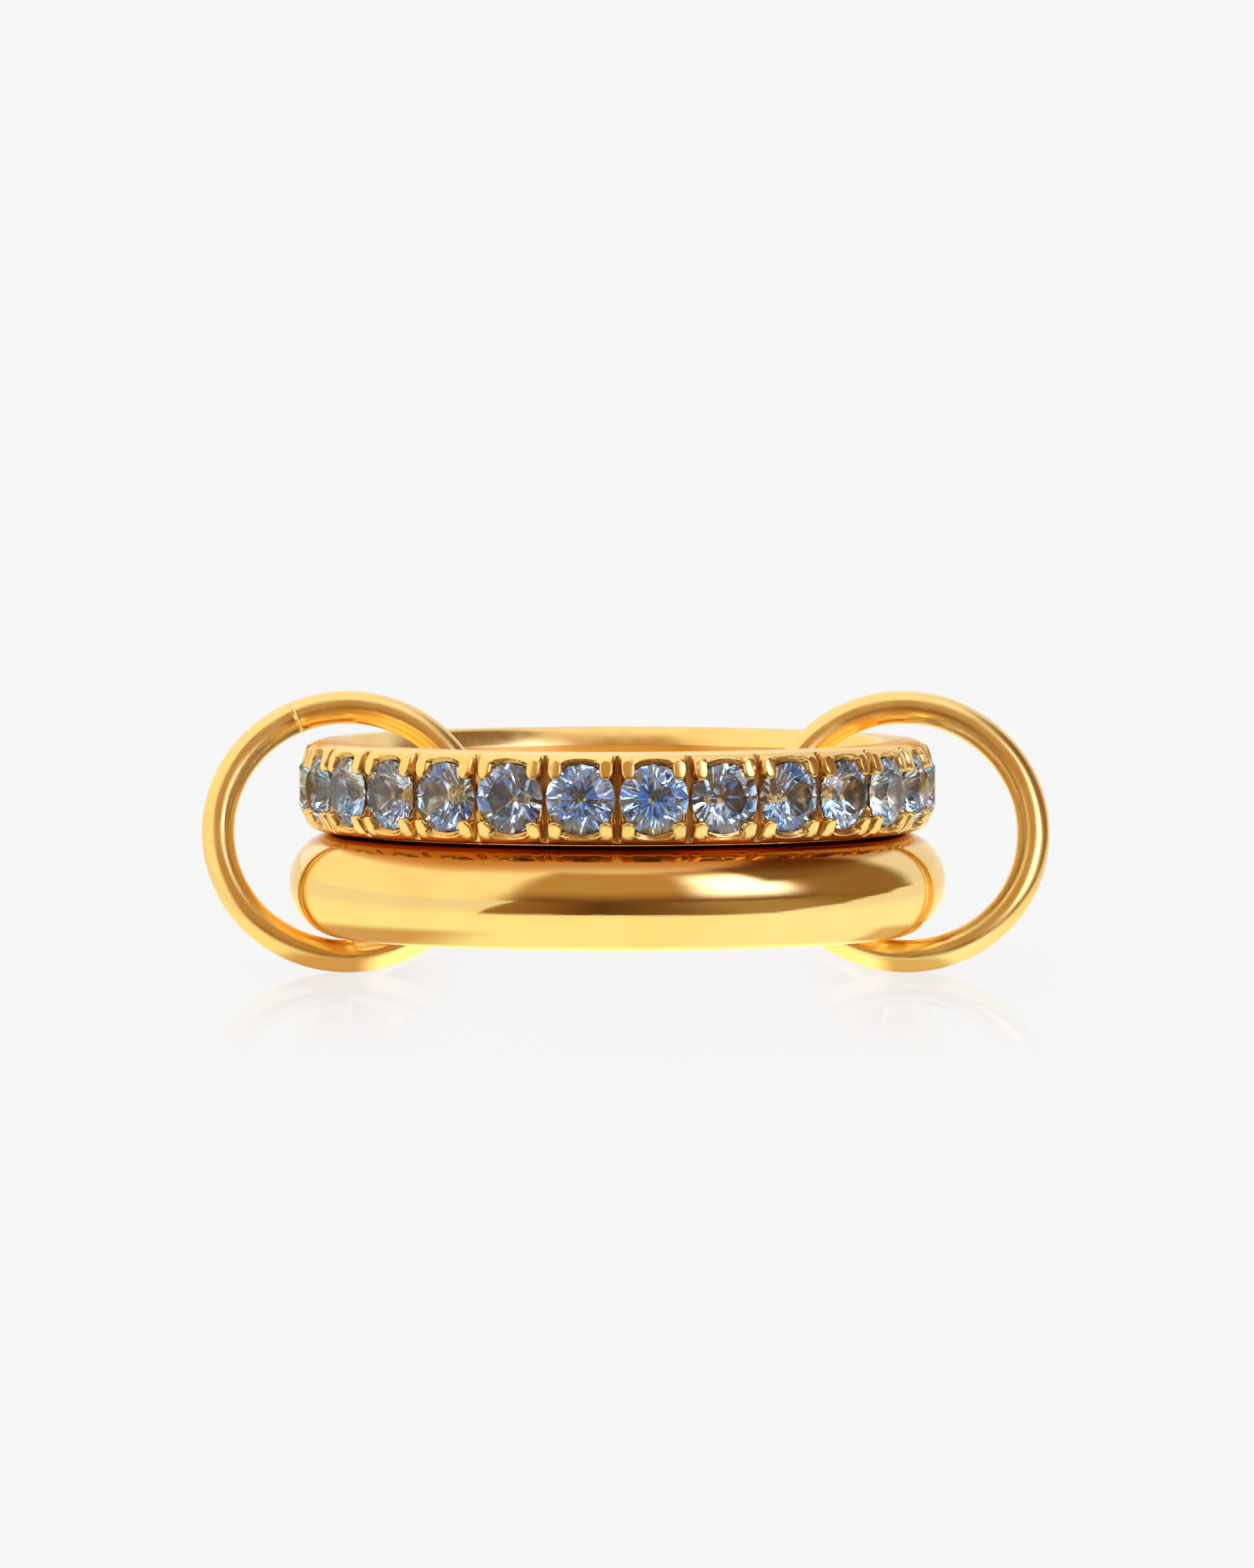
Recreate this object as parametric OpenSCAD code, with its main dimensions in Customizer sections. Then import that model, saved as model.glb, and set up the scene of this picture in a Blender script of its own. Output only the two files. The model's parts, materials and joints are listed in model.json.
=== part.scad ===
// Double ring: a plain domed band and a stone-set band, stacked on one finger
// axis and threaded through two loose wire links. It lies as it rests by itself:
// the plain band sits on the two link wires and on its own back edge.
// Units are millimetres, +Z is up, and the floor is at z = 0.

/* [Finger size] */
// Inner diameter of both bands
finger_d = 17.3; // [16.5:0.1:19]

/* [Plain band] */
// Height of the plain band along the finger
plain_h = 3.36; // [3:0.02:3.42]
// Wall of the plain band at the crest of its dome
plain_t = 2.12; // [2:0.02:2.3]
// Radius of the dome's arc
dome_r = 1.75; // [1.72:0.01:1.85]
// Rounding of the plain band's inner edges
plain_edge_r = 0.3; // [0.15:0.05:0.4]

/* [Stone band] */
// Height of the stone band along the finger
pave_h = 2.96; // [2.9:0.02:3.1]
// Wall of the stone band's metal
pave_t = 1.64; // [1.6:0.02:1.7]
// Rounding of the stone band's outer shoulders
shoulder_r = 0.66; // [0.5:0.02:0.7]
// Rounding of the stone band's inner edges
pave_edge_r = 0.2; // [0.1:0.05:0.3]
// Depth of the saw cuts between the stones
groove_depth = 0.36; // [0.25:0.01:0.4]
// Diameter of one prong
prong_d = 0.36; // [0.3:0.02:0.4]

/* [Stones] */
// Diameter of one stone
stone_d = 2.26; // [2.2:0.01:2.3]
// Share of the diameter that the table takes
table_share = 0.56; // [0.5:0.01:0.62]
// Angle of the crown facets to the girdle
crown_angle = 34; // [30:1:36]
// Angle of the pavilion facets to the girdle
pavilion_angle = 41; // [38:1:42]

/* [Links] */
// Outer diameter of a link
link_d = 9.56; // [9.4:0.02:9.8]
// Thickness of a link's wire
wire_d = 1.07; // [1:0.01:1.1]

/* [Rest] */
// Gap between the two bands
stack_gap = 0.04; // [0.02:0.01:0.1]
// Play between the plain band and the link wires that carry it
wire_gap = 0.2; // [0.12:0.01:0.24]
// Lean of the links out of the finger axis, their tops towards the back
link_lean = 18.5; // [15:0.5:21]
// How far in front of the finger axis the link wires pass under the bands
wire_forward = 0.4; // [0.2:0.05:1]
// How far the left link's centre lies outside the bore
left_out = 0.2; // [0:0.05:1]
// How far the right link's centre lies outside the bore
right_out = 0.85; // [0:0.05:1]

/* [Hidden] */
$fn = 96;

// Radii and heights, measured in the bands' own frame: +Z along the finger,
// z = 0 at the bottom of the plain band.
bore_r = finger_d / 2;
plain_r = bore_r + plain_t;
pave_r = bore_r + pave_t;
pave_z = plain_h + stack_gap;
pave_mid_z = pave_z + pave_h / 2;

// The dome's arc meets the flat bottom at this radius.
dome_centre_r = plain_r - dome_r;
dome_foot_r = dome_centre_r + sqrt(dome_r * dome_r - plain_h * plain_h / 4);

// Heights of a cut stone above and below its girdle.
stone_r = stone_d / 2;
table_r = stone_r * table_share;
girdle_t = 0.04;
crown_h = (stone_r - table_r) * tan(crown_angle);
pavilion_h = stone_r * tan(pavilion_angle);

// The stones stand a little proud of the metal between them.
table_proud = 0.14;
girdle_r = pave_r + table_proud - crown_h - girdle_t / 2;
stone_gap = 0.06;
stone_count = floor(360 / (2 * asin((stone_d + stone_gap) / 2 / girdle_r)));
pitch = 360 / stone_count;

// Each stone sits in a counterbore, a cone and a short pilot hole.
seat_clear = 0.03;
seat_r = stone_r + 0.15;
seat_floor = girdle_t / 2 + seat_clear;
pilot_r = 0.25;
pilot_depth = pavilion_h + 0.08;
seat_open = 1;

// Four prongs hold each stone, at this angle from the finger axis as seen from
// the stone's middle. A prong's tip narrows in two steps to a small flat.
prong_r = prong_d / 2;
prong_reach = stone_r + prong_r + 0.02;
prong_angle = 38;
prong_tip = 0.28;
prong_root = -0.2;
prong_shoulder = 0.12;
prong_crown = 0.04;
prong_crown_r = prong_r * 0.78;
prong_flat_r = prong_r * 0.4;

// The saw cuts open outwards, and are a little narrower at their bottom.
groove_floor_r = pave_r - groove_depth;
groove_w = 0.26;
groove_floor_w = 0.16;
groove_over = 0.5;

link_r = (link_d - wire_d) / 2;
wire_r = wire_d / 2;

// The link wires pass under the plain band at this height in the bands' frame.
wire_z = -(wire_r + wire_gap);

// Where each link stands. Columns: node name, its centre along X from the
// finger axis, and how far it is turned about its foot.
LINKS = [
    ["link_left", -(bore_r + left_out), 1],
    ["link_right", bore_r + right_out, 2]
];

// The bands tip back until the plain band's back foot meets the floor that the
// wires stand on: reach * sin(tip) = wire_r + |wire_z| * cos(tip).
foot_reach = dome_foot_r + wire_forward;
foot_span = sqrt(foot_reach * foot_reach + wire_z * wire_z);
tip = asin(wire_r / foot_span) + atan2(-wire_z, foot_reach);
lift = dome_foot_r * sin(tip);

// The front of the whole is the plain band's dome and its back is the stones'
// tables or the upper prongs, so this brings its middle over the origin.
front_reach = dome_r + dome_centre_r * cos(tip) - plain_h / 2 * sin(tip);
table_reach = (pave_r + table_proud) * cos(tip) + (pave_mid_z + table_r) * sin(tip);
top_prong_z = pave_mid_z + prong_reach * cos(prong_angle) + prong_flat_r;
prong_back = (girdle_r + prong_tip) * cos(tip) + top_prong_z * sin(tip);
centre_y = (front_reach - max(table_reach, prong_back)) / 2;

// The outer sides of the two links bound the whole along X, and a link's turn
// moves its middle a little.
link_mid = [for (row = LINKS) row[1] - link_r * sin(link_lean + tip) * sin(row[2])];
centre_x = -(link_mid[0] + link_mid[1]) / 2;

// The links stand on the floor here, in front of the finger axis.
foot_y = centre_y - wire_forward * cos(tip) + wire_z * sin(tip);

function stone_name(i) = str("stone_", i < 9 ? "0" : "", i + 1);
function stone_turn(i) = (i + 0.5) * pitch - 90;

// Puts what is drawn in the bands' own frame onto the floor.
module at_rest() {
    translate([centre_x, centre_y, lift])
        rotate([-tip, 0, 0])
            children();
}

// What a rounded corner takes off a square one. The corner lies at the origin
// and the metal towards +X and +Y.
module corner_waste(r) {
    difference() {
        translate([-r, -r])
            square([2 * r, 2 * r]);
        translate([r, r])
            circle(r);
        translate([0, r])
            square([2 * r, 2 * r]);
        translate([r, 0])
            square([2 * r, 2 * r]);
    }
}

// A band's section with its two inner edges rounded. Children draw the section.
module rounded_inside(h, edge_r) {
    difference() {
        children();
        translate([bore_r, 0])
            corner_waste(edge_r);
        translate([bore_r, h])
            mirror([0, 1])
                corner_waste(edge_r);
    }
}

module plain_section() {
    rounded_inside(plain_h, plain_edge_r)
        intersection() {
            translate([bore_r, 0])
                square([plain_t, plain_h]);
            translate([dome_centre_r, plain_h / 2])
                circle(dome_r);
        }
}

module pave_section() {
    rounded_inside(pave_h, pave_edge_r)
        difference() {
            translate([bore_r, 0])
                square([pave_t, pave_h]);
            translate([pave_r, 0])
                mirror([1, 0])
                    corner_waste(shoulder_r);
            translate([pave_r, pave_h])
                rotate(180)
                    corner_waste(shoulder_r);
        }
}

// Turns a child into the place of stone i: its own +Z points away from the
// finger, and its origin is the middle of the girdle.
module in_cell(i) {
    rotate([0, 0, stone_turn(i)])
        translate([girdle_r, 0, pave_mid_z])
            rotate([0, 90, 0])
                children();
}

// The hole that one stone is set in.
module seat() {
    translate([0, 0, -seat_floor])
        cylinder(h = seat_open, r = seat_r);
    translate([0, 0, -seat_floor - pavilion_h])
        cylinder(h = pavilion_h, r1 = 0, r2 = stone_r);
    translate([0, 0, -pilot_depth])
        cylinder(h = pilot_depth / 2, r = pilot_r);
}

// One straight saw cut across the band, between two stones.
module groove() {
    cut_top_r = pave_r + groove_over;
    widen = (groove_w - groove_floor_w) / groove_depth;
    cut_top_w = groove_floor_w + widen * (cut_top_r - groove_floor_r);
    translate([0, 0, pave_z - groove_over])
        linear_extrude(pave_h + 2 * groove_over)
            polygon([
                [groove_floor_r, -groove_floor_w / 2],
                [cut_top_r, -cut_top_w / 2],
                [cut_top_r, cut_top_w / 2],
                [groove_floor_r, groove_floor_w / 2]
            ]);
}

// One prong: a peg with a bevelled tip.
module prong() {
    rotate_extrude()
        polygon([
            [0, prong_root],
            [prong_r, prong_root],
            [prong_r, prong_tip - prong_shoulder],
            [prong_crown_r, prong_tip - prong_crown],
            [prong_flat_r, prong_tip],
            [0, prong_tip]
        ]);
}

module plain_band() {
    color("gold")
        at_rest()
            rotate_extrude()
                plain_section();
}

module pave_band() {
    color("gold")
        at_rest() {
            difference() {
                translate([0, 0, pave_z])
                    rotate_extrude()
                        pave_section();
                for (i = [0:stone_count - 1]) {
                    in_cell(i)
                        seat();
                    rotate([0, 0, stone_turn(i) + pitch / 2])
                        groove();
                }
            }
            for (i = [0:stone_count - 1])
                for (side = [-1, 1], up = [0, 180])
                    in_cell(i)
                        rotate([0, 0, up + side * prong_angle])
                            translate([prong_reach, 0, 0])
                                prong();
        }
}

// A round brilliant cut with its girdle's middle at the origin and its table
// towards +Z: an eight-sided table, a ring of eight points where the star,
// kite and upper girdle facets meet, sixteen points on the girdle, and eight
// points halfway down the pavilion.
module brilliant() {
    star_r = (table_r + stone_r) / 2;
    star_z = girdle_t / 2 + crown_h * 0.55;
    lower_r = stone_r * 0.24;
    lower_z = -girdle_t / 2 - pavilion_h * 0.74;
    points = concat(
        [for (k = [0:7]) [table_r * cos(45 * k), table_r * sin(45 * k), girdle_t / 2 + crown_h]],
        [for (k = [0:7]) [star_r * cos(45 * k + 22.5), star_r * sin(45 * k + 22.5), star_z]],
        [for (k = [0:15]) [stone_r * cos(22.5 * k), stone_r * sin(22.5 * k), girdle_t / 2]],
        [for (k = [0:15]) [stone_r * cos(22.5 * k), stone_r * sin(22.5 * k), -girdle_t / 2]],
        [for (k = [0:7]) [lower_r * cos(45 * k + 22.5), lower_r * sin(45 * k + 22.5), lower_z]],
        [[0, 0, -girdle_t / 2 - pavilion_h]]
    );
    star = 8;
    girdle_top = 16;
    girdle_low = 32;
    lower = 48;
    culet = 56;
    faces = concat(
        [[for (k = [0:7]) 7 - k]],
        [for (k = [0:7]) [k, (k + 1) % 8, star + k]],
        [for (k = [0:7]) [k, star + k, girdle_top + 2 * k]],
        [for (k = [0:7]) [k, girdle_top + 2 * k, star + (k + 7) % 8]],
        [for (k = [0:7]) [star + k, girdle_top + 2 * k + 1, girdle_top + 2 * k]],
        [for (k = [0:7]) [star + k, girdle_top + (2 * k + 2) % 16, girdle_top + 2 * k + 1]],
        [for (k = [0:15], next = (k + 1) % 16)
            [girdle_top + k, girdle_top + next, girdle_low + next, girdle_low + k]],
        [for (k = [0:7]) [lower + k, girdle_low + 2 * k, girdle_low + 2 * k + 1]],
        [for (k = [0:7]) [lower + k, girdle_low + 2 * k + 1, girdle_low + (2 * k + 2) % 16]],
        [for (k = [0:7]) [lower + k, culet, girdle_low + 2 * k]],
        [for (k = [0:7]) [lower + k, girdle_low + (2 * k + 2) % 16, culet]]
    );
    polyhedron(points, faces);
}

module stone(i) {
    color("cornflowerblue")
        at_rest()
            in_cell(i)
                brilliant();
}

// A closed wire link round the walls of both bands. It stands on the floor on
// the lowest point of its wire and leans back.
module link(x, turn) {
    color("goldenrod")
        translate([centre_x + x, foot_y, wire_r])
            rotate([90 - link_lean - tip, 0, turn])
                translate([0, link_r, 0])
                    rotate_extrude()
                        translate([link_r, 0])
                            circle(wire_r);
}

plain_band();
pave_band();
for (row = LINKS)
    link(row[1], row[2]);
for (i = [0:stone_count - 1])
    stone(i);
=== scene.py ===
"""Double ring: a plain domed band and a stone-set band on one finger axis, threaded
through two loose wire links. The camera, floor and light follow the photograph."""

import json
import math

import bpy
import numpy as np
from mathutils import Matrix, Vector


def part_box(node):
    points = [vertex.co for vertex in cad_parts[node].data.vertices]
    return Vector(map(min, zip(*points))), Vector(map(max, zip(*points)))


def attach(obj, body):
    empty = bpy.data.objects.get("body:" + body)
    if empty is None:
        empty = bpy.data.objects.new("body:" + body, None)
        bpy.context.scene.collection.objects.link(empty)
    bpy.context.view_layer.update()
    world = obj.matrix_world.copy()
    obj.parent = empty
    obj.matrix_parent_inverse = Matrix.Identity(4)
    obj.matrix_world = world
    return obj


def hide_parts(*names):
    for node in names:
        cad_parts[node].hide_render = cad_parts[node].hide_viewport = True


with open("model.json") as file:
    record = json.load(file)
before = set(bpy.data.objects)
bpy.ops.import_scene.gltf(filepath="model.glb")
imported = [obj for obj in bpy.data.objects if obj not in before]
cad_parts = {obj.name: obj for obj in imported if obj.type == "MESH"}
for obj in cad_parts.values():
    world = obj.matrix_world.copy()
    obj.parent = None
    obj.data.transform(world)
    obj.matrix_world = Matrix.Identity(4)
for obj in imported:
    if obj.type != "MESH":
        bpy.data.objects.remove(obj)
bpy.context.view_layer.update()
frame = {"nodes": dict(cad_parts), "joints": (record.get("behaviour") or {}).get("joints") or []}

MM = 0.001

# Driving dimensions, in millimetres and degrees, as in the CAD model.
BORE_R = 8.65
PLAIN_H, PLAIN_T, DOME_R, PLAIN_EDGE_R = 3.36, 2.12, 1.75, 0.3
PAVE_H, PAVE_T, SHOULDER_R, PAVE_EDGE_R = 2.96, 1.64, 0.66, 0.2
STACK_GAP = 0.04
STONE_R, TABLE_SHARE, TABLE_PROUD, GIRDLE_T = 1.13, 0.56, 0.14, 0.04
CROWN_ANGLE, PAVILION_ANGLE = 34, 41
LINK_D, WIRE_D, LINK_LEAN = 9.56, 1.07, 18.5
LINK_TURN = {"link_left": 1, "link_right": 2}

# The bevel at the top of the stone band's bore is a wide curve, from the first angle
# to the second, and a narrow one that eases it into the bore.
BEVEL_R, EASE_R, BEVEL_ANGLES = 2.6, 0.12, (37, 23)
# The CAD's rounds are cut into flats, so round surfaces here lie this far inside.
SKIN = 0.003

PAVE_R = BORE_R + PAVE_T
PAVE_MID = PLAIN_H + STACK_GAP + PAVE_H / 2
CROWN_H = STONE_R * (1 - TABLE_SHARE) * math.tan(math.radians(CROWN_ANGLE))
GIRDLE_R = PAVE_R + TABLE_PROUD - CROWN_H - GIRDLE_T / 2
STONE_NODES = [node for name, node in frame["nodes"].items() if name.startswith("stone_")]
STONES = len(STONE_NODES)
PITCH = 2 * math.pi / STONES

# Columns of the meshes run round the finger or the link, rows along the section.
BAND_COLUMNS, DOME_ROWS = 360, 65
LINK_COLUMNS, LINK_ROWS = 256, 48
# The inner part of a band's section starts and ends with this many rows on the flat
# faces, which have points this far from their edges.
FACE_ROWS, FACE_INSET = 2, 0.03

# The plain band is darker, by painted shade, within these distances of the crevice
# between the bands: at its front and back, and at its sides, which get more light. The
# one goes over into the other between these sines of the angle from the side. The power
# keeps the painted shade dark for most of the way.
CREVICE_FRONT, CREVICE_SIDE = 0.88, 0.35
CREVICE_TURN = (0.4, 0.85)
CREVICE_POWER = 5

# The photograph: 1600 x 2000 pixels, taken slightly from above, from the front. The
# camera's distance and clipping, the point it aims at and its sensor are in millimetres.
PHOTO_W, PHOTO_H = 1600, 2000
PX_PER_MM = 38.9
CAMERA_RISE = 10.4
CAMERA_DISTANCE = 400
AIM_POINT = Vector((0, 0, 4.0))
AIM_PIXEL = (798.5, 1081.5)
SENSOR = 36
CLIP_NEAR, CLIP_FAR = 10, 10000

# The bands' own frame, with the finger axis as Z, placed as the part lies.
TURN_JOINT = next(j for j in frame["joints"] if j["name"] == "stone_ring_turn")
AXIS = Vector(TURN_JOINT["axis"]).normalized()
TIP = math.atan2(AXIS.y, AXIS.z)
BANDS = Matrix.Translation(Vector(TURN_JOINT["pos_m"])) @ Matrix.Rotation(-TIP, 4, "X")


# Meshes


def ring_mesh(name, points, uv, painted_shade):
    """A closed quad mesh over a grid of points in metres. Rows and columns both
    close on themselves. uv has one more row and column, in millimetres, and
    the last argument says how much painted shade each point gets, from 0 to 1."""
    rows, cols = points.shape[:2]
    index = np.arange(rows * cols).reshape(rows, cols)
    right, above = np.roll(index, -1, 1), np.roll(index, -1, 0)
    corner = np.roll(above, -1, 1)
    quads = np.stack([index, right, corner, above], -1).ravel()
    mesh = bpy.data.meshes.new(name)
    mesh.vertices.add(rows * cols)
    mesh.vertices.foreach_set("co", points.astype(np.float32).ravel())
    mesh.loops.add(quads.size)
    mesh.loops.foreach_set("vertex_index", quads.astype(np.int32))
    mesh.polygons.add(rows * cols)
    mesh.polygons.foreach_set("loop_start", np.arange(0, quads.size, 4, dtype=np.int32))
    mesh.polygons.foreach_set("use_smooth", np.ones(rows * cols, bool))
    layer = mesh.uv_layers.new(name="arc")
    corners = np.stack([uv[:-1, :-1], uv[:-1, 1:], uv[1:, 1:], uv[1:, :-1]], -2)
    layer.data.foreach_set("uv", corners.astype(np.float32).ravel())
    shade = mesh.attributes.new("painted_shade", "FLOAT", "POINT")
    shade.data.foreach_set("value", painted_shade.astype(np.float32).ravel())
    mesh.update(calc_edges=True)
    return mesh


def arc(centre_r, centre_z, radius, start, end, count):
    """Points of an arc in a band's section, from start to end degrees."""
    a = np.radians(np.linspace(start, end, count))
    return np.stack([centre_r + radius * np.cos(a), centre_z + radius * np.sin(a)], -1)


def bevel(height):
    """The top of the stone band's bore: a wide bevel that eases into the bore."""
    flat, steep = (math.sin(math.radians(angle)) for angle in BEVEL_ANGLES)
    start = height - EASE_R * steep - BEVEL_R * (flat - steep)
    ease = arc(BORE_R + EASE_R, start, EASE_R, 180 - BEVEL_ANGLES[1], 180, count=4)
    wide = arc(0, 0, BEVEL_R, 180 - BEVEL_ANGLES[0], 180 - BEVEL_ANGLES[1], count=6)
    return np.concatenate([wide - wide[-1] + ease[0], ease[1:]])


def inner_section(outer_r, height, edge_r, top):
    """A band's section from its top face round the bore to its bottom face. top holds
    the points of the bore's top edge, and its bottom edge is a round of edge_r."""
    return np.concatenate([
        [[outer_r - FACE_INSET, height], [top[0, 0] + FACE_INSET, height]],
        top,
        [[BORE_R, height / 2]],
        arc(BORE_R + edge_r, edge_r, edge_r, 180, 270, count=4),
        [[outer_r - FACE_INSET, 0]],
    ])


def lathe_points(radius, height, angle):
    """Points in metres, at rest. Rows follow radius and height, columns angle."""
    x, y = radius * np.cos(angle), radius * np.sin(angle)
    local = np.stack([x, y, np.broadcast_to(height, x.shape)], -1) * MM
    turn = np.array(BANDS)
    return local @ turn[:3, :3].T + turn[:3, 3]


def arc_uv(radius, height, angle):
    """Arc lengths in millimetres: u round the finger, v along the section."""
    r, z = np.append(radius, radius[0]), np.append(height, height[0])
    length = np.concatenate([[0], np.cumsum(np.hypot(np.diff(r), np.diff(z)))])
    full = np.append(angle, angle[0] + 2 * math.pi) * PAVE_R
    u, v = np.meshgrid(full, length)
    return np.stack([u, v], -1)


def mark_bore(mesh, rows, cols, outer_rows):
    """Gives the bore the second material. Its rows lie between those of the flat
    faces, and the first flat face follows the outer rows."""
    slot = np.zeros((rows, cols), np.int32)
    slot[outer_rows + FACE_ROWS:-FACE_ROWS] = 1
    mesh.polygons.foreach_set("material_index", slot.ravel())


def add_piece(mesh, body, node):
    """A visible piece that rides on a body and takes the place of a CAD node."""
    piece = bpy.data.objects.new(mesh.name, mesh)
    bpy.context.scene.collection.objects.link(piece)
    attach(piece, body)
    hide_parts(node)
    return piece


def crevice(away, reach):
    """Painted shade: 1 where the bands meet, falling to 0 at this reach from there."""
    return np.clip(1 - (away / reach) ** CREVICE_POWER, 0, 1)


def plain_band():
    """The plain band: a dome outside, a bore with rounded edges inside."""
    centre = BORE_R + PLAIN_T - DOME_R
    rise = math.degrees(math.asin(PLAIN_H / 2 / DOME_R))
    dome = arc(centre, PLAIN_H / 2, DOME_R - SKIN, -rise, rise, DOME_ROWS)
    edge = arc(BORE_R + PLAIN_EDGE_R, PLAIN_H - PLAIN_EDGE_R, PLAIN_EDGE_R, 90, 180, count=5)
    section = np.concatenate([dome, inner_section(dome[-1, 0], PLAIN_H, PLAIN_EDGE_R, edge)])
    angle = np.linspace(0, 2 * math.pi, BAND_COLUMNS, endpoint=False)
    radius, height = section[:, 0], section[:, 1]
    points = lathe_points(radius[:, None], height[:, None], angle[None, :])
    # Painted shade towards the crevice under the stone band, reaching further at the front and
    # back.
    reach = np.interp(np.abs(np.sin(angle)), CREVICE_TURN, (CREVICE_SIDE, CREVICE_FRONT))
    painted_shade = crevice((PLAIN_H - height)[:, None], reach)
    mesh = ring_mesh("plain_band_metal", points, arc_uv(radius, height, angle), painted_shade)
    mark_bore(mesh, len(section), len(angle), len(dome))
    return add_piece(mesh, "plain_ring", "plain_band")


# The setting's cell, in millimetres, seen from outside with the stone's middle at the
# origin: u runs round the finger and v upwards. Columns and rows are dense where the
# metal shows, beyond the open half width and height.
OPEN_HALF_U, OPEN_COLUMNS, METAL_COLUMNS = 0.52, 4, 18
OPEN_HALF_V, OPEN_ROWS, METAL_ROWS, SHOULDER_ROWS = 0.3, 6, 13, 23

# The seat's radius, its floor against the girdle, and how far in from the girdle the
# cone under the stone is cut.
SEAT_R, SEAT_FLOOR, CONE_REACH = 1.28, -0.05, 0.95
# A low bead above and below the seat: its height, its distance from the seat, its
# half width and where it starts. It ends this far before the shoulder does.
BEAD, BEAD_OUT, BEAD_HALF, BEAD_V, BEAD_END = 0.025, 0.04, 0.03, 1.1, 0.1
# The saw cuts between stones: the radius of their floor, and their half width in the
# middle and at the edges. They narrow from this height over this length, and their
# lower halves have this share of it from the start.
SLOT_FLOOR_R = 9.93
SLOT_HALF_INNER, SLOT_HALF_OUTER = 0.16, 0.11
SLOT_NARROW_V, SLOT_NARROW_LENGTH, SLOT_LOWER_SHARE = 0.5, 0.9, 0.3
# The prongs, four to a stone. Pairs are for the upper and the lower ones. Their tops
# fall off towards the outline, and by the slope beyond the level height. A higher
# PRONG_SQUARE makes the outline squarer.
PRONG_U, PRONG_HALF_U = 0.81, 0.22
PRONG_V, PRONG_HALF_V = (0.95, 1.04), (0.36, 0.33)
PRONG_R, PRONG_SLOPE, PRONG_SQUARE = (10.36, 10.46), (0.30, 0.56), (2.3, 3.5)
PRONG_DOME, PRONG_LEVEL_V = 0.03, 0.72
# The widths over which these shapes go over into the metal round them.
SEAT_SOFT, SLOT_SOFT, PRONG_SOFT = 0.05, 0.06, 0.28

# Painted shade in the cuts: how dark it is, from 0 to 1, the depth where it is
# darkest, and how far under the stone's edge that starts. Then the painted shade in
# the pit behind the stone's point.
CUT_DARK, CUT_DEPTH, CUT_UNDER = 0.6, 0.3, 0.04
PIT_DARK, PIT_R = 0.6, 0.6


def below(x, edge, width):
    """1 where x is below edge and 0 above it, smooth over width."""
    t = np.clip((edge + width / 2 - x) / width, 0, 1)
    return t * t * (3 - 2 * t)


def towards(radius, target, share):
    """The radius moved to the target where share is 1, and part of the way below."""
    return radius + share * (target - radius)


def setting_columns():
    """Angles across one cell from the stone's middle."""
    inner = np.linspace(0, OPEN_HALF_U, OPEN_COLUMNS) / PAVE_R
    outer = np.linspace(OPEN_HALF_U / PAVE_R, PITCH / 2, METAL_COLUMNS)[1:]
    side = np.concatenate([inner, outer])
    return np.concatenate([-side[::-1], side[1:-1]])


def setting_rows():
    """Heights and outer radii of the rows, from the bottom shoulder to the top."""
    flat = PAVE_H / 2 - SHOULDER_R
    middle = np.linspace(-OPEN_HALF_V, OPEN_HALF_V, OPEN_ROWS)
    side = np.linspace(OPEN_HALF_V, flat, METAL_ROWS)[1:]
    turn = np.radians(np.linspace(0, 90, SHOULDER_ROWS))[1:]
    up_v = np.concatenate([side, flat + SHOULDER_R * np.sin(turn)])
    shoulder = PAVE_R - SHOULDER_R * (1 - np.cos(turn))
    up_r = np.concatenate([np.full(len(side), PAVE_R), shoulder])
    v = np.concatenate([-up_v[::-1], middle, up_v])
    r = np.concatenate([up_r[::-1], np.full(len(middle), PAVE_R), up_r])
    return v, r


def with_bead(radius, rho, v):
    """The metal with a low bead above and below the seat."""
    rise = BEAD * np.exp(-(((rho - SEAT_R - BEAD_OUT) / BEAD_HALF) ** 2)) * (np.abs(v) > BEAD_V)
    return radius + rise * (radius > PAVE_R - SHOULDER_R + BEAD_END)


def with_seat(radius, rho, u):
    """The metal with a round hole cut into it, flat-bottomed with a cone in it."""
    cone = np.clip(STONE_R - rho, 0, CONE_REACH) * math.tan(math.radians(PAVILION_ANGLE))
    floor_r = np.hypot(GIRDLE_R + SEAT_FLOOR - cone, u)
    return towards(radius, np.minimum(radius, floor_r), below(rho, SEAT_R, SEAT_SOFT))


def with_slots(radius, angle, v):
    """The metal with half a saw cut at either side of the cell."""
    edge = (PITCH / 2 - np.abs(angle)) * PAVE_R
    narrow = np.clip((np.abs(v) - SLOT_NARROW_V) / SLOT_NARROW_LENGTH, 0, 1)
    narrow = np.where(v > 0, narrow, SLOT_LOWER_SHARE + (1 - SLOT_LOWER_SHARE) * narrow)
    half = SLOT_HALF_INNER + (SLOT_HALF_OUTER - SLOT_HALF_INNER) * narrow
    return towards(radius, np.minimum(radius, SLOT_FLOOR_R), below(edge, half, SLOT_SOFT))


def with_prongs(radius, u, v):
    """The metal with four prongs standing on it."""
    upper = v > 0
    across = (np.abs(u) - PRONG_U) / PRONG_HALF_U
    along = (np.abs(v) - np.where(upper, *PRONG_V)) / np.where(upper, *PRONG_HALF_V)
    square = np.where(upper, *PRONG_SQUARE)
    outward = (np.abs(across) ** square + np.abs(along) ** square) ** (1 / square)
    top = np.where(upper, *PRONG_R) - PRONG_DOME * (across**2 + along**2)
    top = top - np.where(upper, *PRONG_SLOPE) * np.clip(np.abs(v) - PRONG_LEVEL_V, 0, 1)
    return towards(radius, np.maximum(radius, top), below(outward, 1.0, PRONG_SOFT))


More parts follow.
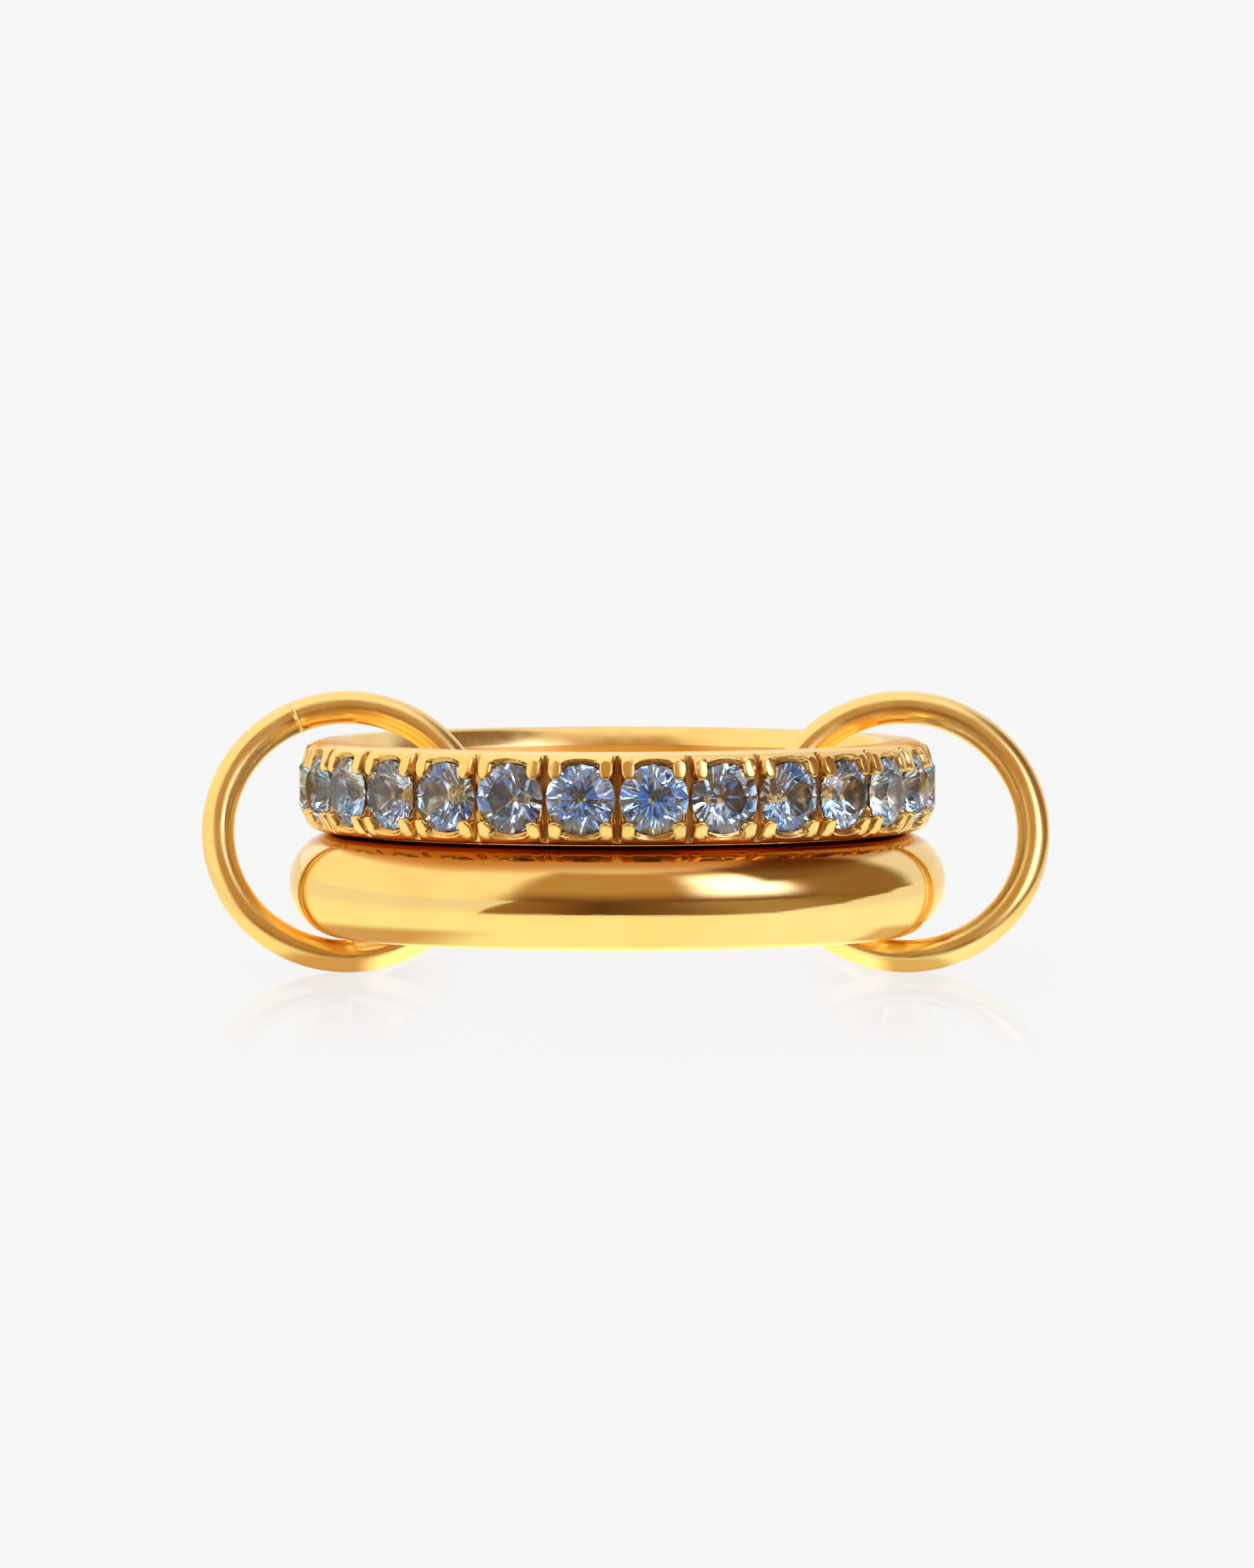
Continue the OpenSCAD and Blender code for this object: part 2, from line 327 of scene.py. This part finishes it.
def setting_radius(angle, v, envelope):
    """The metal's radius at each angle and height: the envelope with a bead, a seat
    and saw cuts, and prongs standing on it."""
    u = GIRDLE_R * np.tan(angle)
    rho = np.hypot(u, v)
    radius = with_bead(envelope, rho, v)
    radius = with_seat(radius, rho, u)
    radius = with_slots(radius, angle, v)
    return with_prongs(radius, u, v)


def setting_painted_shade(angle, v, depth):
    """How much painted shade the metal gets, from 0 to 1, at each angle, height and
    depth below the envelope: painted shade in the cuts and in the pit behind the stone."""
    rho = np.hypot(GIRDLE_R * np.tan(angle), v)
    cuts = CUT_DARK * np.clip(depth / CUT_DEPTH, 0, 1) * (rho > STONE_R - CUT_UNDER)
    return np.maximum(cuts, PIT_DARK * below(rho, PIT_R, PIT_R))


def pave_band():
    """The stone band's metal as one closed surface round the bore."""
    column = setting_columns()
    v, envelope = setting_rows()
    across, up, outside = column[None, :], v[:, None], envelope[:, None]
    cell = setting_radius(across, up, outside)
    # Painted shade in the cuts and in the pit behind each stone.
    cell_painted_shade = setting_painted_shade(across, up, outside - cell)
    inner = inner_section(PAVE_R - SHOULDER_R, PAVE_H, PAVE_EDGE_R, bevel(PAVE_H))
    middles = (np.arange(STONES) + 0.5) * PITCH - math.pi / 2
    angle = (middles[:, None] + across).ravel()
    inner_shape = (len(inner), len(angle))
    radius = np.concatenate([
        np.tile(cell, (1, STONES)), np.broadcast_to(inner[:, :1], inner_shape),
    ])
    painted_shade = np.concatenate([np.tile(cell_painted_shade, (1, STONES)), np.zeros(inner_shape)])
    height = np.concatenate([PAVE_MID + v, PAVE_MID - PAVE_H / 2 + inner[:, 1]])
    points = lathe_points(radius, height[:, None], angle[None, :])
    outline = np.concatenate([envelope, inner[:, 0]])
    mesh = ring_mesh("pave_band_metal", points, arc_uv(outline, height, angle), painted_shade)
    mark_bore(mesh, len(height), len(angle), len(v))
    return add_piece(mesh, "stone_ring", "pave_band")


# The left link's solder seam: its angle from the right towards the top, the stretch
# of wire with more columns for it, and its collar and groove, each as a share of the
# wire's thickness and a half width.
SEAM_ANGLE = math.radians(114)
SEAM_REACH, SEAM_COLUMNS = 0.6, 61
COLLAR, COLLAR_HALF = 0.035, 0.22
GROOVE, GROOVE_HALF = 0.07, 0.035


def seam_thickness(along):
    """The wire's thickness, as a share, at these distances from the seam."""
    collar = COLLAR * np.exp(-((along / COLLAR_HALF) ** 2))
    return 1 + collar - GROOVE * np.exp(-((along / GROOVE_HALF) ** 2))


def link(node, body, seam=None):
    """A closed wire link round the middle of its node's box, with a solder seam at
    this angle if it has one."""
    low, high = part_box(node)
    centre = (low + high) / 2
    ring_r, wire_r = (LINK_D - WIRE_D) / 2, WIRE_D / 2 - SKIN
    turn = Matrix.Rotation(math.radians(LINK_TURN[node]), 3, "Z")
    turn = turn @ Matrix.Rotation(math.radians(90 - LINK_LEAN) - TIP, 3, "X")
    major = np.linspace(0, 2 * math.pi, LINK_COLUMNS, endpoint=False)
    thick = np.ones_like(major)
    if seam is not None:
        close = seam + np.linspace(-SEAM_REACH, SEAM_REACH, SEAM_COLUMNS) / ring_r
        major = np.unique(np.concatenate([major, close]))
        thick = seam_thickness((major - seam) * ring_r)
    minor = np.linspace(0, 2 * math.pi, LINK_ROWS, endpoint=False)[:, None]
    r = ring_r + wire_r * thick * np.cos(minor)
    local = np.stack([r * np.cos(major), r * np.sin(major), wire_r * thick * np.sin(minor)], -1)
    points = (local * MM) @ np.array(turn).T + np.array(centre)
    around = np.append(major, major[0] + 2 * math.pi) * ring_r
    about = np.append(minor, 2 * math.pi) * wire_r
    uv = np.stack(np.meshgrid(around, about), -1)
    mesh = ring_mesh(node + "_wire", points, uv, np.zeros(points.shape[:2]))
    return add_piece(mesh, body, node)


# Node helpers


def add_node(tree, kind, inputs=None, **settings):
    """A new node. Each input is a number or colour, or a socket to link from."""
    made = tree.nodes.new(kind)
    for key, value in settings.items():
        setattr(made, key, value)
    for key, value in (inputs or {}).items():
        if isinstance(value, bpy.types.NodeSocket):
            tree.links.new(value, made.inputs[key])
        else:
            made.inputs[key].default_value = value
    return made


def calc(tree, operation, first, second=0.0):
    return add_node(tree, "ShaderNodeMath", {0: first, 1: second}, operation=operation).outputs[0]


def product(tree, *factors):
    """The factors, which are sockets or numbers, multiplied together."""
    result = factors[0]
    for factor in factors[1:]:
        result = calc(tree, "MULTIPLY", result, factor)
    return result


def blend_colour(tree, factor, first, second):
    made = add_node(tree, "ShaderNodeMix", {0: factor, 6: first, 7: second}, data_type="RGBA")
    return made.outputs[2]


def remap(tree, value, low, high, new_low, new_high, smooth=False):
    made = add_node(
        tree, "ShaderNodeMapRange",
        {0: value, 1: low, 2: high, 3: new_low, 4: new_high},
        interpolation_type="SMOOTHSTEP" if smooth else "LINEAR",
    )
    return made.outputs[0]


def fade(tree, value, start, end):
    """0 up to start and 1 from end on, smooth in between. When start is above end, 0
    above it and 1 below end."""
    return remap(tree, value, start, end, 0.0, 1.0, smooth=True)


def noise(tree, place, scale, detail):
    """Cloudy noise from 0 to 1 at this place."""
    inputs = {"Vector": place, "Scale": scale, "Detail": detail}
    return add_node(tree, "ShaderNodeTexNoise", inputs).outputs[0]


def cell_number(tree, place, scale):
    """A number from 0 to 1 that is the same all over each cell of a pattern."""
    cells = add_node(tree, "ShaderNodeTexVoronoi", {"Vector": place, "Scale": scale})
    return add_node(tree, "ShaderNodeSeparateXYZ", {0: cells.outputs["Color"]}).outputs[0]


def steps(tree, number, tones):
    """The last of the tones whose share the number is above."""
    colour = tones[0][1]
    for share, tone in tones[1:]:
        colour = blend_colour(tree, calc(tree, "GREATER_THAN", number, share), colour, tone)
    return colour


def rgb(*channels):
    return (*channels, 1.0)


def new_material(name):
    """A new material with its node tree and shader."""
    material = bpy.data.materials.new(name)
    material.use_nodes = True
    tree = material.node_tree
    return material, tree, tree.nodes["Principled BSDF"]


# Materials

GOLD_PALE = rgb(1.0, 0.73, 0.29)
GOLD_DEEP = rgb(0.98, 0.66, 0.23)
# Painted shade: the dark gold laid into the crevice between the bands and the setting's cuts.
GOLD_PAINTED_SHADE = rgb(0.46, 0.14, 0.012)
GOLD_EDGE = rgb(1.0, 0.89, 0.68)

# The gold's noise: the scale and detail of each kind, and the range that is used. The
# clouds of colour have a scale per metre, the others one per millimetre of surface.
CLOUDS, CLOUD_RANGE = (240.0, 3.0), (0.35, 0.65)
SMUDGES, SMUDGE_RANGE, SMUDGE_GLOSS = (0.9, 5.0), (0.3, 0.75), (0.7, 1.5)
WAVES = (0.35, 1.0)
LINES, LINE_STRETCH = (1.0, 4.0), (0.6, 26.0, 1.0)


def gold_colour(tree):
    """Two tones of gold in slow clouds, and painted shade, a dark gold, in the crevices."""
    space = add_node(tree, "ShaderNodeTexCoord").outputs["Object"]
    tone = remap(tree, noise(tree, space, *CLOUDS), *CLOUD_RANGE, 0.0, 1.0)
    clean = blend_colour(tree, tone, GOLD_PALE, GOLD_DEEP)
    depth = add_node(tree, "ShaderNodeAttribute", attribute_name="painted_shade").outputs["Fac"]
    return blend_colour(tree, depth, clean, GOLD_PAINTED_SHADE)


def gold_relief(tree, arc_map, scratch, wave):
    """Fine polishing lines round the metal, on slow waves. Heights in millimetres."""
    waves = add_node(tree, "ShaderNodeBump", {
        "Height": noise(tree, arc_map, *WAVES), "Distance": wave * MM,
    })
    stretch = add_node(tree, "ShaderNodeMapping", {"Vector": arc_map, "Scale": LINE_STRETCH})
    lines = add_node(tree, "ShaderNodeBump", {
        "Height": noise(tree, stretch.outputs[0], *LINES), "Distance": scratch * MM,
        "Normal": waves.outputs[0],
    })
    return lines.outputs[0]


def gold(name, roughness, scratch, wave=0.0):
    """Polished gold with a slowly varying gloss."""
    material, tree, shader = new_material(name)
    arc_map = add_node(tree, "ShaderNodeUVMap", uv_map="arc").outputs[0]
    finest, roughest = (roughness * share for share in SMUDGE_GLOSS)
    gloss = remap(tree, noise(tree, arc_map, *SMUDGES), *SMUDGE_RANGE, finest, roughest)
    tree.links.new(gold_colour(tree), shader.inputs["Base Color"])
    tree.links.new(gloss, shader.inputs["Roughness"])
    tree.links.new(gold_relief(tree, arc_map, scratch, wave), shader.inputs["Normal"])
    shader.inputs["Metallic"].default_value = 1.0
    shader.inputs["Specular Tint"].default_value = GOLD_EDGE
    return material


# The stones' zones of colour, as a scale per metre. Each tone holds above its share
# of the pattern.
SAPPHIRE_ZONES = 1700.0
SAPPHIRE_TONES = [
    (-1.0, rgb(0.52, 0.46, 0.50)),
    (0.28, rgb(0.34, 0.58, 0.96)),
    (0.58, rgb(0.92, 0.96, 1.0)),
]
# Painted reflection: the stones are tinted only where the gold mirrors them.
# The stones are a warm brown in the gold's mirror images, as in the photograph.
SAPPHIRE_PAINTED_REFLECTION = rgb(0.62, 0.34, 0.16)
SAPPHIRE_ROUGHNESS, SAPPHIRE_IOR, SAPPHIRE_CLARITY = 0.03, 1.77, 0.97


def sapphire():
    """Pale blue cut stone: clear, with zones of deeper colour."""
    material, tree, shader = new_material("pale_sapphire")
    space = add_node(tree, "ShaderNodeTexCoord").outputs["Object"]
    zones = steps(tree, cell_number(tree, space, SAPPHIRE_ZONES), SAPPHIRE_TONES)
    # Painted reflection: the warm brown for the gold's glossy rays.
    path = add_node(tree, "ShaderNodeLightPath").outputs
    outside = calc(tree, "LESS_THAN", path["Transmission Depth"], 0.5)
    painted_reflection = product(tree, path["Is Glossy Ray"], outside)
    colour = blend_colour(tree, painted_reflection, zones, SAPPHIRE_PAINTED_REFLECTION)
    tree.links.new(colour, shader.inputs["Base Color"])
    shader.inputs["Roughness"].default_value = SAPPHIRE_ROUGHNESS
    shader.inputs["IOR"].default_value = SAPPHIRE_IOR
    shader.inputs["Transmission Weight"].default_value = SAPPHIRE_CLARITY
    return material


# Studio

WHITE = rgb(1.0, 1.0, 1.0)
BACKDROP = rgb(0.93, 0.93, 0.93)

# The floor: its radius in metres, its corners, its own light and grey, and its gloss
# beside the object and in the middle, which both grow at low angles.
FLOOR_R, FLOOR_CORNERS = 3.0, 64
FLOOR_GLOW, FLOOR_GREY = 0.876, rgb(0.06, 0.06, 0.06)
FLOOR_SHEEN, FLOOR_SHEEN_MIDDLE = 0.466, 0.014
FLOOR_IOR, FLOOR_ROUGHNESS = 1.45, 0.035

# How the gold mirrors the floor, as a painted reflection: a clear yellow in front,
# paler on the right, darker below the links as painted shade, brighter inside the ring
# as painted light.
FLOOR_FRONT = rgb(1.12, 1.20, 0.95)
FLOOR_RIGHT = rgb(1.12, 1.28, 1.2)
FLOOR_LEFT_LINK_SHADE = rgb(0.72, 0.50, 0.32)
FLOOR_RIGHT_LINK_SHADE = rgb(0.80, 0.62, 0.36)
FLOOR_INSIDE_LIGHT = rgb(1.7, 1.6, 1.3)

# Where on the floor these tones and the gloss start and are full, in millimetres: x
# towards the right, y towards the back, r from the middle. The gloss fades with y.
RIGHT_X = (0, 6)
LEFT_LINK_X, LEFT_LINK_R = (-5, -8.5), (12.2, 11)
RIGHT_LINK_X, RIGHT_LINK_Y, RIGHT_LINK_R = (5, 8.5), (-4.5, -3), (11.2, 10.4)
FAR_R, INSIDE_R = (14, 24), (9, 8)
SHEEN_X, SHEEN_Y, SHEEN_R = (5, 10), (1, 16), (22, 15)

# Soft panels round the object: azimuths from the camera towards the right and
# heights above the horizon, in degrees, softness, and light.
PANELS = [
    ("left", -175, -39, -30, 80, 8, rgb(1.14, 1.02, 0.84)),
    ("camera side", -39, 160, -30, 64, 12, rgb(0.50, 0.32, 0.14)),
    ("camera side, low", -39, 100, -90, 12, 30, rgb(0.15, 0.06, 0.03)),
    ("window", 32, 66, 12, 50, 22, rgb(2.5, 2.7, 3.7)),
    ("right", 74, 150, -30, 47, 16, rgb(0.29, 0.17, 0.08)),
    ("far right", 125, 172, -30, 62, 12, rgb(0.86, 0.88, 1.05)),
    ("back right", 168, 400, -90, 50, 10, rgb(1.08, 1.16, 1.5)),
    ("back left", -400, -150, -90, 50, 20, rgb(1.08, 1.16, 1.5)),
    ("beside the window", 60, 130, 31, 64, 12, rgb(0.22, 0.12, 0.045)),
    ("back right, low", 165, 400, -90, 16, 6, BACKDROP),
    ("back left, low", -400, -165, -90, 16, 6, BACKDROP),
    ("ceiling", -400, 400, 66, 100, 14, rgb(1.15, 1.10, 1.10)),
]
ROOM = rgb(1.15, 1.12, 1.15)

# A dark board lies on the floor in front of and beside the object: a painted
# reflection in the gold. Only its reflection shows: the camera doesn't see it. Its near
# edge is given as azimuths, as for the panels, and distances from the middle. Its tones
# are given by azimuth.
BOARD_NEAR = [(-36, 17.6), (0, 18.0), (20, 17.2), (40, 17.2), (68, 23), (100, 44), (125, 150)]
BOARD_FAR, BOARD_HEIGHT, BOARD_COLUMNS = 2500, 0.1, 90
BOARD_TONES = [
    (-32, rgb(0.33, 0.17, 0.06)),
    (-5, rgb(0.11, 0.05, 0.02)),
    (14, rgb(0.20, 0.115, 0.05)),
    (34, rgb(0.40, 0.28, 0.17)),
    (52, rgb(0.40, 0.28, 0.16)),
    (80, rgb(0.26, 0.15, 0.05)),
]

# The cut stones bend light in from all sides: for them the room is a pattern of
# bright, middling and dark patches. On the left and on the right one tone takes most
# of the pattern's place: the azimuth in the middle of the change, its width, the tone.
SPARKLE_SCALE = 4.0
SPARKLE_TONES = [
    (-1.0, rgb(0.04, 0.04, 0.06)),
    (0.24, rgb(0.11, 0.25, 0.54)),
    (0.40, rgb(0.55, 0.52, 0.53)),
    (0.58, rgb(0.96, 1.10, 1.22)),
    (0.78, rgb(5.4, 6.0, 6.4)),
]
SPARKLE_LEFT = (-50, 40, rgb(0.95, 1.0, 1.15))
SPARKLE_RIGHT = (44, 40, rgb(3.6, 3.7, 3.8))
SPARKLE_EVEN = 0.65


def degrees(tree, radians):
    return calc(tree, "MULTIPLY", radians, math.degrees(1))


def azimuth_of(tree, place):
    """Degrees from the camera's side towards the right."""
    axes = add_node(tree, "ShaderNodeSeparateXYZ", {0: place}).outputs
    return degrees(tree, calc(tree, "ARCTAN2", axes[0], calc(tree, "MULTIPLY", axes[1], -1.0)))


def panel_mask(tree, azimuth, rise, low_az, high_az, low_el, high_el, soft):
    """1 between these azimuths and heights and 0 outside, soft at the edges."""
    half = soft / 2
    return product(
        tree,
        fade(tree, azimuth, low_az - half, low_az + half),
        fade(tree, azimuth, high_az + half, high_az - half),
        fade(tree, rise, low_el - half, low_el + half),
        fade(tree, rise, high_el + half, high_el - half),
    )


def sparkle(tree, ray, azimuth):
    """The room as the cut stones see it."""
    colour = steps(tree, cell_number(tree, ray, SPARKLE_SCALE), SPARKLE_TONES)
    for (middle, width, tone), side in [(SPARKLE_LEFT, -1), (SPARKLE_RIGHT, 1)]:
        half = side * width / 2
        share = remap(tree, azimuth, middle - half, middle + half, 0.0, SPARKLE_EVEN, smooth=True)
        colour = blend_colour(tree, share, colour, tone)
    return colour


def light_room():
    """All the light: panels by direction, the sparkle for rays that have passed
    through a stone, and the even backdrop for the camera."""
    world = bpy.data.worlds.new("studio")
    bpy.context.scene.world = world
    world.use_nodes = True
    tree = world.node_tree
    tree.nodes.clear()
    ray = add_node(tree, "ShaderNodeTexCoord").outputs["Generated"]
    azimuth = azimuth_of(tree, ray)
    upward = add_node(tree, "ShaderNodeSeparateXYZ", {0: ray}).outputs[2]
    rise = degrees(tree, calc(tree, "ARCSINE", upward))
    colour = ROOM
    for _, *limits, light in PANELS:
        colour = blend_colour(tree, panel_mask(tree, azimuth, rise, *limits), colour, light)
    path = add_node(tree, "ShaderNodeLightPath").outputs
    colour = blend_colour(tree, path["Is Transmission Ray"], colour, sparkle(tree, ray, azimuth))
    colour = blend_colour(tree, path["Is Camera Ray"], colour, BACKDROP)
    room = add_node(tree, "ShaderNodeBackground", {"Color": colour})
    add_node(tree, "ShaderNodeOutputWorld", {"Surface": room.outputs[0]})


def stage_sheet(name, corners, faces):
    """A flat sheet of the studio, and the empty node tree of its material."""
    mesh = bpy.data.meshes.new(name)
    mesh.from_pydata(corners, [], faces)
    sheet = bpy.data.objects.new(name, mesh)
    bpy.context.scene.collection.objects.link(sheet)
    material = bpy.data.materials.new(name)
    material.use_nodes = True
    material.node_tree.nodes.clear()
    mesh.materials.append(material)
    return sheet, material.node_tree


def past(tree, distance, span, before=0.0, after=1.0, smooth=True):
    """One value up to the span's start and the other from its end on. The span is in
    millimetres."""
    start, end = span
    return remap(tree, distance, start * MM, end * MM, before, after, smooth)


def floor_tone(tree, x, y, r):
    """The floor's colour: even, except for how the gold mirrors it, which is a painted
    reflection with painted shade below the links and painted light inside the ring.
    """
    left_link = product(tree, past(tree, x, LEFT_LINK_X), past(tree, r, LEFT_LINK_R))
    right_link = product(
        tree, past(tree, x, RIGHT_LINK_X), past(tree, y, RIGHT_LINK_Y), past(tree, r, RIGHT_LINK_R),
    )
    painted_reflection = FLOOR_FRONT
    for share, tone in [
        (past(tree, x, RIGHT_X), FLOOR_RIGHT),
        (left_link, FLOOR_LEFT_LINK_SHADE),
        (right_link, FLOOR_RIGHT_LINK_SHADE),
        (past(tree, r, FAR_R), WHITE),
        (past(tree, r, INSIDE_R), FLOOR_INSIDE_LIGHT),
    ]:
        painted_reflection = blend_colour(tree, share, painted_reflection, tone)
    # Painted reflection: only glossy rays see these tones; all other rays see white.
    glossy = add_node(tree, "ShaderNodeLightPath").outputs["Is Glossy Ray"]
    return blend_colour(tree, glossy, WHITE, painted_reflection)


def floor_sheen(tree, x, y, r):
    """How glossy the floor is: more beside the object and at low angles."""
    return product(
        tree,
        add_node(tree, "ShaderNodeFresnel", {"IOR": FLOOR_IOR}).outputs[0],
        past(tree, calc(tree, "ABSOLUTE", x), SHEEN_X, FLOOR_SHEEN_MIDDLE, FLOOR_SHEEN),
        past(tree, calc(tree, "ABSOLUTE", y), SHEEN_Y, 1.0, 0.0, smooth=False),
        past(tree, r, SHEEN_R),
    )


def floor():
    """A wide pale floor, slightly glossy, and bright by itself so it stays even."""
    corners = [
        (FLOOR_R * math.cos(angle), FLOOR_R * math.sin(angle), 0)
        for angle in np.linspace(0, 2 * math.pi, FLOOR_CORNERS, endpoint=False)
    ]
    _, tree = stage_sheet("floor", corners, [list(range(FLOOR_CORNERS))])
    place = add_node(tree, "ShaderNodeTexCoord").outputs["Object"]
    x, y, _ = add_node(tree, "ShaderNodeSeparateXYZ", {0: place}).outputs
    r = add_node(tree, "ShaderNodeVectorMath", {0: place}, operation="LENGTH").outputs["Value"]
    tone = floor_tone(tree, x, y, r)
    glow = add_node(tree, "ShaderNodeEmission", {"Color": tone, "Strength": FLOOR_GLOW})
    matt = add_node(tree, "ShaderNodeBsdfDiffuse", {"Color": FLOOR_GREY})
    both = add_node(tree, "ShaderNodeAddShader", {0: glow.outputs[0], 1: matt.outputs[0]})
    shine = add_node(tree, "ShaderNodeBsdfGlossy", {"Color": WHITE, "Roughness": FLOOR_ROUGHNESS})
    mixed = add_node(tree, "ShaderNodeMixShader", {
        0: floor_sheen(tree, x, y, r), 1: both.outputs[0], 2: shine.outputs[0],
    })
    add_node(tree, "ShaderNodeOutputMaterial", {"Surface": mixed.outputs[0]})


def board():
    """The dark board, a painted reflection: a sector of a flat ring, just above the floor.
    Seen from below, by the floor's own sheen, it is clear."""
    azimuths, near = zip(*BOARD_NEAR)
    sweep = np.linspace(azimuths[0], azimuths[-1], BOARD_COLUMNS)
    edges = np.interp(sweep, azimuths, near), np.full(BOARD_COLUMNS, BOARD_FAR)
    corners = [
        (r * math.sin(turn) * MM, -r * math.cos(turn) * MM, BOARD_HEIGHT * MM)
        for edge in edges for r, turn in zip(edge, np.radians(sweep))
    ]
    faces = [
        (i, i + BOARD_COLUMNS, i + BOARD_COLUMNS + 1, i + 1) for i in range(BOARD_COLUMNS - 1)
    ]
    sheet, tree = stage_sheet("dark_board", corners, faces)
    sheet.visible_camera = False
    sheet.visible_diffuse = False
    sheet.visible_shadow = False
    azimuth = azimuth_of(tree, add_node(tree, "ShaderNodeTexCoord").outputs["Object"])
    tone = BOARD_TONES[0][1]
    for (start, _), (end, next_tone) in zip(BOARD_TONES, BOARD_TONES[1:]):
        tone = blend_colour(tree, remap(tree, azimuth, start, end, 0.0, 1.0), tone, next_tone)
    dark = add_node(tree, "ShaderNodeEmission", {"Color": tone})
    clear = add_node(tree, "ShaderNodeBsdfTransparent")
    underside = add_node(tree, "ShaderNodeNewGeometry").outputs["Backfacing"]
    mixed = add_node(tree, "ShaderNodeMixShader", {
        0: underside, 1: dark.outputs[0], 2: clear.outputs[0],
    })
    add_node(tree, "ShaderNodeOutputMaterial", {"Surface": mixed.outputs[0]})


def camera():
    """The photograph's camera: AIM_POINT shows at AIM_PIXEL."""
    rise = math.radians(CAMERA_RISE)
    back = Vector((0, -math.cos(rise), math.sin(rise)))
    up = Vector((0, math.sin(rise), math.cos(rise)))
    right = Vector((1, 0, 0))
    place = AIM_POINT + back * CAMERA_DISTANCE
    aim = AIM_POINT + right * ((PHOTO_W / 2 - AIM_PIXEL[0]) / PX_PER_MM)
    aim += up * ((AIM_PIXEL[1] - PHOTO_H / 2) / PX_PER_MM)
    data = bpy.data.cameras.new("camera")
    data.sensor_width = SENSOR
    data.lens = SENSOR * CAMERA_DISTANCE / (PHOTO_H / PX_PER_MM)
    data.clip_start, data.clip_end = CLIP_NEAR * MM, CLIP_FAR * MM
    made = bpy.data.objects.new("camera", data)
    made.location = place * MM
    made.rotation_mode = "QUATERNION"
    made.rotation_quaternion = (aim - place).to_track_quat("-Z", "Y")
    bpy.context.scene.collection.objects.link(made)
    bpy.context.scene.camera = made


def set_material(piece, *materials):
    """Gives a piece or CAD node these materials, in the order of its slots."""
    piece.data.materials.clear()
    for material in materials:
        piece.data.materials.append(material)


bore_gold = gold("gold_bore", roughness=0.15, scratch=0.0005)
band_gold = gold("gold_band", roughness=0.08, scratch=0.0012, wave=0.02)
setting_gold = gold("gold_setting", roughness=0.22, scratch=0.001)
wire_gold = gold("gold_wire", roughness=0.22, scratch=0.004, wave=0.05)
set_material(plain_band(), band_gold, bore_gold)
set_material(pave_band(), setting_gold, bore_gold)
set_material(link("link_left", "left_link", SEAM_ANGLE), wire_gold)
set_material(link("link_right", "right_link"), wire_gold)
stone_glass = sapphire()
for stone in STONE_NODES:
    set_material(stone, stone_glass)

light_room()
floor()
board()
camera()
bpy.context.scene.view_settings.view_transform = "Standard"
